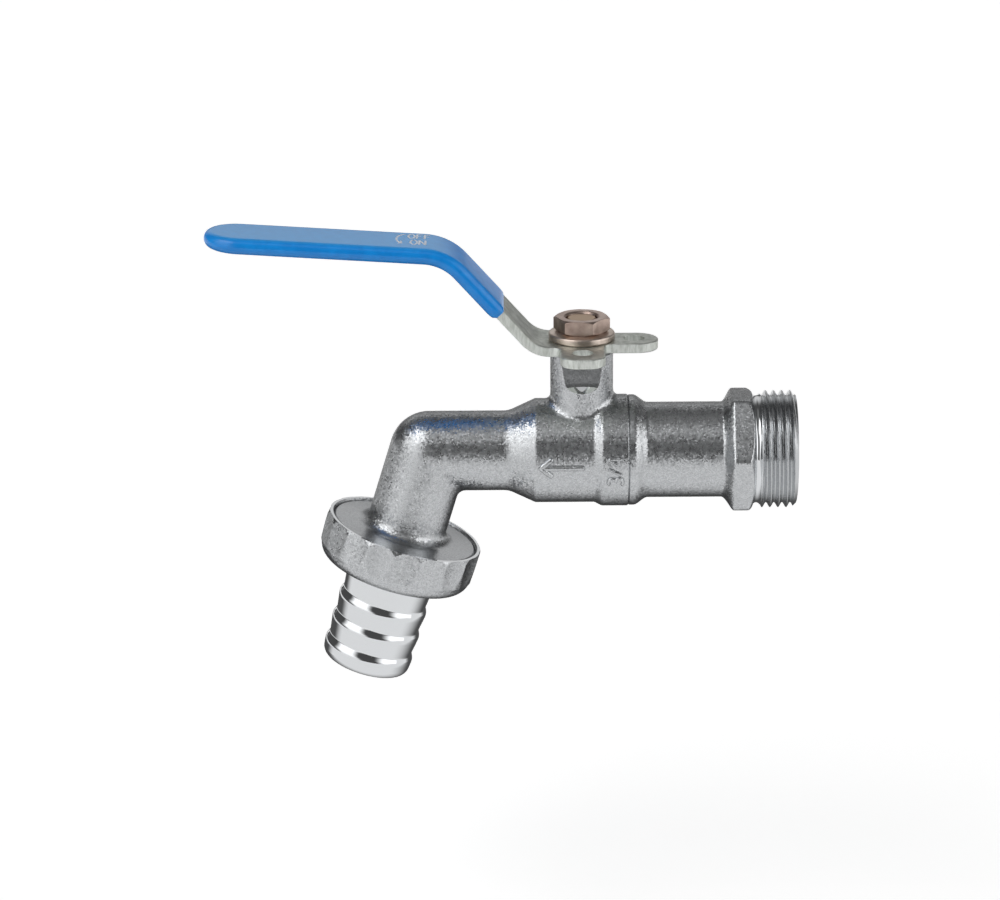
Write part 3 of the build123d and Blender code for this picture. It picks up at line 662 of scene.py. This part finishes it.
elbow = np.array((ELBOW_X, 0.0, 0.0))
half_bend = (math.pi / 2 + SPOUT_TILT) / 2
halving = np.array((1.0, 0.0, 0.0)) + down
halving /= np.linalg.norm(halving)
fillet_points = []
for roll in np.radians(np.linspace(-82, 82, FILLET_ROWS)):
    ball_r = BALL_R + BALL_GROWTH * (1 - math.cos(roll))
    reach = PIPE_R + ball_r + SKIN_LIFT
    sideways = np.array((0, reach * math.sin(roll), 0))
    offset = halving * reach * math.cos(roll) / math.sin(half_bend) + sideways
    centre = elbow + offset
    from_barrel = np.array((0.0, centre[1], centre[2])) / reach
    from_spout = (offset - down * (offset @ down)) / reach
    for share in np.linspace(0, 1, FILLET_STEPS):
        ray = from_barrel * (1 - share) + from_spout * share
        fillet_points.append((centre - ball_r * ray / np.linalg.norm(ray)) * MM)
fillet = new_piece("elbow_fillet", fillet_points, grid_faces(FILLET_ROWS, FILLET_STEPS), forged)
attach(fillet, "tap_body")
print("elbow fillet:", len(fillet.data.polygons), "faces")

# %% [markdown]
# ## Raised marks
# Forgings carry small raised marks from the die, and the grip has its positions printed in white. Both
# are strokes: a pen of some width drawn along a line, with a low rounded back. One function sweeps that
# section along any polyline and lays it on a surface that is given as a rule from flat places to points
# in space.


# %% Strokes on a surface
def strokes(name, lines, pen, height, lay, material):
    """Raised strokes: polylines in mm swept with a rounded section, laid by lay(u, v, height) in mm."""
    points, faces = [], []
    spread = np.linspace(0, math.pi, 9)
    for line in lines:
        line = np.array(line, float)
        steps = np.hypot(*np.diff(line, axis=0).T)
        reach = np.concatenate([[0], np.cumsum(steps)])
        places = np.linspace(0, reach[-1], max(8, int(reach[-1] / (pen * 0.3))))
        ends = np.array([0, 0.12, 0.3]) * pen
        places = np.unique(np.concatenate([places, ends, reach[-1] - ends]))
        path = np.stack([np.interp(places, reach, line[:, k]) for k in (0, 1)], axis=1)
        along = np.gradient(path, axis=0)
        along /= np.maximum(np.hypot(*along.T), 1e-9)[:, None]
        left = np.stack([-along[:, 1], along[:, 0]], axis=1)
        from_end = np.minimum(places, reach[-1] - places)
        share = np.sqrt(np.clip(1 - (1 - np.clip(from_end / (pen / 2), 0, 1)) ** 2, 0.004, 1))
        faces += grid_faces(len(path), len(spread), len(points))
        for centre, side_way, width in zip(path, left, share):
            for a in spread:
                u, v = centre + side_way * math.cos(a) * width * pen / 2
                points.append([c * MM for c in lay(u, v, height * math.sin(a) * width)])
    return new_piece(name, points, faces, material)


def arc(cx, cy, rx, ry, start, end, count=14):
    """Points on an ellipse between two angles in degrees."""
    turn = np.radians(np.linspace(start, end, count))
    return [(cx + rx * math.cos(t), cy + ry * math.sin(t)) for t in turn]


GLYPHS = {
    "O": [arc(0.32, 0.5, 0.32, 0.5, 0, 360, 28)],
    "N": [[(0, 0), (0, 1), (0.6, 0), (0.6, 1)]],
    "F": [[(0, 0), (0, 1), (0.55, 1)], [(0, 0.52), (0.45, 0.52)]],
    "3": [arc(0.26, 0.74, 0.27, 0.26, 150, -90) + arc(0.26, 0.25, 0.30, 0.26, 90, -150)],
    "4": [[(0.45, 0), (0.45, 1), (0, 0.3), (0.62, 0.3)]],
    "/": [[(0, 0), (0.5, 1)]],
}


def lettered(word, size, gap, u0, v0, wide=1.0):
    """Strokes of a word of a height in mm, from its lower left corner; wide stretches the letters."""
    lines = []
    for letter in word:
        glyph = GLYPHS[letter]
        lines += [[(u0 + x * size * wide, v0 + y * size) for x, y in line] for line in glyph]
        u0 += max(x for line in glyph for x, _ in line) * size * wide + gap
    return lines


print("letters at hand:", " ".join(GLYPHS))

# %% [markdown]
# The body gets an arrow along the flow and its pipe size, as such taps often do. They are wrapped round
# the chamber and the ring beside it, a few degrees below the middle.

# %% Marks on the body
MARK_SINK = 0.04


def on_barrel(x0, radius, lift):
    """Rule that wraps places round the barrel: u along the barrel, v up from a height angle in degrees."""

    def lay(u, v, height):
        turn = math.radians(lift) + v / radius
        r = radius - MARK_SINK + height
        return x0 + u, -r * math.cos(turn), r * math.sin(turn)

    return lay


arrow = [[(5.0, 0), (-4.6, 0)], [(-2.2, 2.2), (-4.9, 0), (-2.2, -2.2)]]
flow = strokes("flow_arrow", arrow, 1.3, 0.6, on_barrel(-44.6, 11.75, -3), forged)
turned_up = [[(-y, x) for x, y in line] for line in lettered("3/4", 3.2, 0.75, -3.4, -1.6)]
pipe_size = strokes("pipe_size_mark", turned_up, 0.8, 0.5, on_barrel(-32.9, 12.6, -6), forged)
for mark in (flow, pipe_size):
    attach(mark, "tap_body")
print("marks:", flow.name, "and", pipe_size.name)

# %% [markdown]
# ## Polished scoop under the neck's flat
# The cutter that milled the flat on the neck ran out below in a small bright scoop. It slopes outwards,
# so it mirrors what is above the camera. The skin is a grid of straight lines: each starts on the lip,
# where the cutter left the round neck, and ends a little higher on the cutter's own hollow curve.

# %% Scoop
SCOOP_HALF_W = 3.3
SCOOP_TOP_Z = 16.3
SCOOP_ARCH = 0.3
SCOOP_LIFT = 0.02
SCOOP_ROWS = 31
SCOOP_STEPS = 15
CUTTER_R = 3.2
CUTTER_Y = -9.062
CUTTER_Z = 17.73
scoop_points = []
for u in np.linspace(-1, 1, SCOOP_ROWS):
    x = SCOOP_HALF_W * u
    low_y = -math.sqrt(NECK_R**2 - x * x)
    low_z = CUTTER_Z - math.sqrt(CUTTER_R**2 - (low_y - CUTTER_Y) ** 2)
    high_z = SCOOP_TOP_Z + SCOOP_ARCH * math.sqrt(1 - u * u)
    high_y = CUTTER_Y + math.sqrt(CUTTER_R**2 - (CUTTER_Z - high_z) ** 2)
    for v in np.linspace(0, 1, SCOOP_STEPS):
        y = low_y + (high_y - low_y) * v - SCOOP_LIFT
        scoop_points.append(((STEM_X + x) * MM, y * MM, (low_z + (high_z - low_z) * v) * MM))
scoop_faces = [(a, d, c, b) for a, b, c, d in grid_faces(SCOOP_ROWS, SCOOP_STEPS)]
scoop = new_piece("neck_scoop", scoop_points, scoop_faces, turned)
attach(scoop, "tap_body")
print("neck scoop:", len(scoop_faces), "faces")

# %% [markdown]
# ## Dipped sleeve
# A dipped skin has no sharp edge: liquid vinyl draws back from every corner and hangs a little thicker
# below, and where the lever left the bath it runs out in a thin lip. The CAD sleeve is a plate with
# small fillets, so this skin takes its place. Its plan is a strip with a round tip, carried up the lever
# by a middle line that is straight, bent and straight again.

# %% The sleeve's middle line
BEND_R = 12.0
INCLINE = math.radians(48.0)
GRIP = math.radians(3.6)
INCLINE_L = 10.37
GRIP_L = 48.92
MOUTH = np.array((-60.035, 0.0, 35.459))
bend_l = BEND_R * (INCLINE - GRIP)


def upward(slope):
    """Direction out of the lever's top where it climbs at a slope."""
    return np.array((math.sin(slope), 0.0, math.cos(slope)))


def onward(slope):
    """Direction along the lever where it climbs at a slope."""
    return np.array((-math.cos(slope), 0.0, math.sin(slope)))


def middle_line(s):
    """Place on the sleeve's middle line at a distance from its mouth, and the upward direction there."""
    slope = INCLINE - min(max((s - INCLINE_L) / BEND_R, 0), INCLINE - GRIP)
    place = MOUTH + onward(INCLINE) * min(s, INCLINE_L) + BEND_R * (upward(slope) - upward(INCLINE))
    return place + onward(GRIP) * max(s - INCLINE_L - bend_l, 0), upward(slope)


print("sleeve's middle line:", round(INCLINE_L + bend_l + GRIP_L, 2), "mm long")

# %% [markdown]
# The columns of the sleeve's grid run round the outline of its plan. The rows step over the edge: from
# the middle of the top, round the rim, to the middle of the underside. At the mouth the share of skin
# falls to nothing, which makes the lip.

# %% Sleeve
ARM_HALF_W = 7.4
ARM_HALF_T = 1.1
ARM_EDGE_R = 0.35
SKIN_T = 0.6
SKIN_SAG = 0.35
SKIN_CROWN = 0.08
EDGE_R = 1.8
LIP_L = 2.5
LIP_SINK = 0.03


def rim_profile(cover):
    """Steps in from the outline and heights, from top to underside, for a share of skin."""
    skin = (SKIN_T + LIP_SINK) * cover - LIP_SINK
    top = ARM_HALF_T + skin
    low = ARM_HALF_T + skin + SKIN_SAG * cover
    edge = ARM_EDGE_R + (EDGE_R - ARM_EDGE_R) * cover
    half_w = ARM_HALF_W + skin
    quarter = np.linspace(0, math.pi / 2, 10)
    rows = [(d, top - SKIN_CROWN * cover * (1 - d / half_w) ** 2) for d in np.linspace(half_w, edge, 9)]
    shoulder = rows[-1][1] - edge
    rows += [(edge - edge * math.cos(a), shoulder + edge * math.sin(a)) for a in quarter[-2::-1]]
    rows += [(edge - edge * math.cos(a), edge - low - edge * math.sin(a)) for a in quarter]
    return rows + [(half_w, -low)]


tip_centre = INCLINE_L + bend_l + GRIP_L - (ARM_HALF_W + SKIN_T)
straight = np.linspace(-LIP_L, tip_centre, 96)
outline = [(s, math.pi / 2) for s in straight]
outline += [(tip_centre, a) for a in np.linspace(math.pi / 2, -math.pi / 2, 43)[1:-1]]
outline += [(s, -math.pi / 2) for s in straight[::-1]]
sleeve_points = []
for s, turn in outline:
    rows = rim_profile(math.sqrt(1 - min(max(-s / LIP_L, 0), 1) ** 3))
    half_w = rows[0][0]
    for step, height in rows:
        out = half_w - step
        place, face_up = middle_line(s + out * math.cos(turn))
        point = place + face_up * height + np.array((0, out * math.sin(turn), 0))
        sleeve_points.append(tuple(point * MM))
sleeve_faces = grid_faces(len(outline), len(rim_profile(1.0)))
sleeve = new_piece("lever_sleeve_dipped", sleeve_points, sleeve_faces, vinyl)
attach(sleeve, "lever_unit")
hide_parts("lever_sleeve")
print("sleeve:", len(sleeve_faces), "faces")

# %% [markdown]
# ## Print on the grip
# The words are pad-printed with white ink, a thin plastic film that is worn in places, so that some blue
# shows. The ink is only a few hundredths of a millimetre thick. It is laid on the sleeve by dropping
# each point straight down until it meets the sleeve's skin.

# %% Ink
ink, tree, shader, place = new_material("White_pad_print_ink")
wear = add(tree, "TexNoise", {"Vector": place, "Scale": 1 / (0.5 * MM), "Detail": 3.0}).outputs["Fac"]
tint = add(tree, "ValToRGB", {"Fac": wear})
for element, position, colour in zip(tint.color_ramp.elements, (0.30, 0.52), ("#BCD6F4", "#EEF5FF")):
    element.position = position
    element.color = linear(colour)
bump = add(tree, "Bump", {"Height": wear, "Strength": 0.1, "Distance": 0.02 * MM})
fill(tree, shader, {"Base Color": tint.outputs["Color"], "Normal": bump.outputs["Normal"],
                    "Roughness": 0.45, "IOR": 1.5})
print("made", ink.name)

# %% Print
PRINT_LIFT = 0.012
grip_skin = BVHTree.FromPolygons(sleeve_points, sleeve_faces)


def on_grip(u, v, height):
    """Drop a place in plan, in mm, on the sleeve's top."""
    spot = grip_skin.ray_cast(Vector((u * MM, v * MM, 0.2)), Vector((0, 0, -1)))[0]
    return spot.x / MM, spot.y / MM, spot.z / MM + PRINT_LIFT + height


sweep = arc(-78.7, 0.6, 2.6, 4.4, 105, 235)
tip_u, tip_v = sweep[-1]
head = [(tip_u - 0.8, tip_v - 0.2), (tip_u, tip_v), (tip_u - 0.1, tip_v + 1.9)]
words = lettered("OFF", 3.7, 0.5, -78.7, 1.5, 0.6) + lettered("ON", 3.7, 0.5, -78.1, -3.6, 0.6)
printed = strokes("grip_print", words + [sweep, head], 0.45, 0.02, on_grip, ink)
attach(printed, "lever_unit")
print("print:", printed.name)

# %% [markdown]
# ## Camera
# The photo was taken with a long lens, a little above the tap. The camera looks along +Y from 17.6
# degrees up. Its distance and focal length were worked out from how the lever and the nut shrink towards
# the back.

# %% Camera
ELEVATION = math.radians(17.6)
DISTANCE = 0.88
ROLL = math.radians(-0.35)
AIM = Vector((-0.0586, 0.0, 0.00005))
camera_data = bpy.data.cameras.new("camera")
camera_data.lens = 140.5
camera_data.sensor_width = 36.0
camera_data.clip_start = 0.01
camera = bpy.data.objects.new("camera", camera_data)
back = Vector((0, -math.cos(ELEVATION), math.sin(ELEVATION)))
turn = Matrix.Rotation(math.pi / 2 - ELEVATION, 4, "X") @ Matrix.Rotation(ROLL, 4, "Z")
camera.matrix_world = Matrix.Translation(AIM + back * DISTANCE) @ turn
bpy.context.scene.collection.objects.link(camera)
bpy.context.scene.camera = camera
print("camera at", [round(v, 3) for v in camera.location])

# %% [markdown]
# ## Studio
# Chrome is a picture of its room, so the room matters more than the metal. The world is painted by
# direction. On the spout's side stands a large soft box, brightest high up, with a weaker one below it.
# On the inlet's side stands a second, lower one. A small lamp hangs above the camera, a grey wall closes
# the room behind the tap, the ceiling is faintly lit, and the rest is nearly dark. The darkness matters:
# it draws the dark bands that tell the eye that a grey pipe is chrome.

# %% World
DARK_ROOM = 0.08
world = bpy.data.worlds.new("studio")
bpy.context.scene.world = world
world.use_nodes = True
tree = world.node_tree
tree.nodes.clear()
direction = add(tree, "TexCoord").outputs["Generated"]
parts = add(tree, "SeparateXYZ", {0: direction}).outputs
up = parts["Z"]
level = add(tree, "VectorMath", {0: direction, 1: (1, 1, 0)}, operation="MULTIPLY").outputs[0]
heading = add(tree, "VectorMath", {0: level}, operation="NORMALIZE").outputs[0]
front = add(tree, "VectorMath", {0: heading, 1: (0, -1, 0)}, operation="DOT_PRODUCT").outputs["Value"]
frontward = add(tree, "Math", {0: parts["Y"], 1: -1.0}, operation="MULTIPLY").outputs[0]
turn = add(tree, "Math", {0: parts["X"], 1: frontward}, operation="ARCTAN2").outputs[0]
lift = add(tree, "Math", {0: up}, operation="ARCSINE").outputs[0]
azimuth = add(tree, "Math", {0: turn}, operation="DEGREES").outputs[0]
height = add(tree, "Math", {0: lift}, operation="DEGREES").outputs[0]


def window(light, *edges):
    """A patch of light: its strength times a soft edge for each (value, dark end, bright end)."""
    for value, dark, bright in edges:
        light = add(tree, "MapRange", {"Value": value, "From Min": dark, "From Max": bright, "To Min": 0.0,
                                       "To Max": light}, interpolation_type="SMOOTHSTEP").outputs["Result"]
    return light


def soft_box(light, left, right, low, high, soft):
    """A lamp between two headings and two heights in degrees; 0 is the camera's side, 90 the inlet's."""
    return window(light, (azimuth, left - soft, left + soft), (azimuth, right + soft, right - soft),
                  (height, low - soft, low + soft), (height, high + soft, high - soft))


lights = [
    soft_box(1.4, -88, -26, 13, 64, 12),
    soft_box(0.9, -74, -18, -10, 14, 9),
    soft_box(1.6, -88, -24, 46, 66, 9),
    soft_box(1.6, 40, 102, -8, 36, 14),
    soft_box(0.55, -20, 30, 48, 66, 9),
    window(0.64, (front, -0.75, -0.95), (up, 0.8, 0.4), (up, 0.04, 0.24)),
    window(0.12, (up, 0.88, 0.95)),
]
total = DARK_ROOM
for light in lights:
    total = add(tree, "Math", {0: total, 1: light}, operation="ADD").outputs[0]
seen = add(tree, "LightPath").outputs["Is Camera Ray"]
strength = add(tree, "Mix", {"Factor": seen, "A": total, "B": 1.0}, data_type="FLOAT").outputs["Result"]
background = add(tree, "Background", {"Color": (1, 1, 1, 1), "Strength": strength})
add(tree, "OutputWorld", {"Surface": background.outputs[0]})
print("patches of light in the world:", len(lights))

# %% [markdown]
# The floor is a plain white sheet. Camera rays see it and the world as white. Mirrored rays see it
# bright too, but for an oval of painted shade behind the tap, which darkens the undersides as a dark
# card would.

# %% Floor
FLOOR_Z = -0.115
SHADE_AT = (-0.12, 0.22)
SHADE_REACH = (0.38, 0.24)
SEEN_GLOW = 0.55
MIRRORED_GLOW = 0.45
paper, tree, shader, place = new_material("White_paper_floor")
to_shade = (-SHADE_AT[0], -SHADE_AT[1], -FLOOR_Z)
shifted = add(tree, "VectorMath", {0: place, 1: to_shade}, operation="ADD").outputs[0]
oval = (1 / SHADE_REACH[0], 1 / SHADE_REACH[1], 0)
scaled = add(tree, "VectorMath", {0: shifted, 1: oval}, operation="MULTIPLY").outputs[0]
distance = add(tree, "VectorMath", {0: scaled}, operation="LENGTH").outputs["Value"]
shade = add(tree, "MapRange", {"Value": distance, "From Min": 1.1, "From Max": 0.6},
            interpolation_type="SMOOTHSTEP").outputs["Result"]
rays = add(tree, "LightPath").outputs
mirrored = rays["Is Glossy Ray"]
shade_mirrored = add(tree, "Math", {0: shade, 1: mirrored}, operation="MULTIPLY").outputs[0]
# Painted shade: mirrored rays see a grey oval behind the tap, with less glow.
sheet = add(tree, "Mix", {"Factor": shade_mirrored, "A": linear("#F2F2F2"), "B": linear("#747474")},
            data_type="RGBA")
lit_mirrored = add(tree, "Math", {0: mirrored, 1: shade_mirrored}, operation="SUBTRACT").outputs[0]
mirrored_glow = add(tree, "Math", {0: lit_mirrored, 1: MIRRORED_GLOW}, operation="MULTIPLY").outputs[0]
seen = rays["Is Camera Ray"]
glow = add(tree, "Math", {0: seen, 1: SEEN_GLOW, 2: mirrored_glow}, operation="MULTIPLY_ADD")
fill(tree, shader, {"Base Color": sheet.outputs[MIXED_COLOUR], "Roughness": 0.9, "Specular IOR Level": 0.0,
                    "Emission Color": (1, 1, 1, 1), "Emission Strength": glow.outputs[0]})
floor_corners = [(-6, -0.85, FLOOR_Z), (6, -0.85, FLOOR_Z), (6, 6, FLOOR_Z), (-6, 6, FLOOR_Z)]
floor = new_piece("floor", floor_corners, [(0, 1, 2, 3)], paper)
bpy.context.scene.view_settings.view_transform = "Standard"
print("studio ready, floor at", FLOOR_Z)
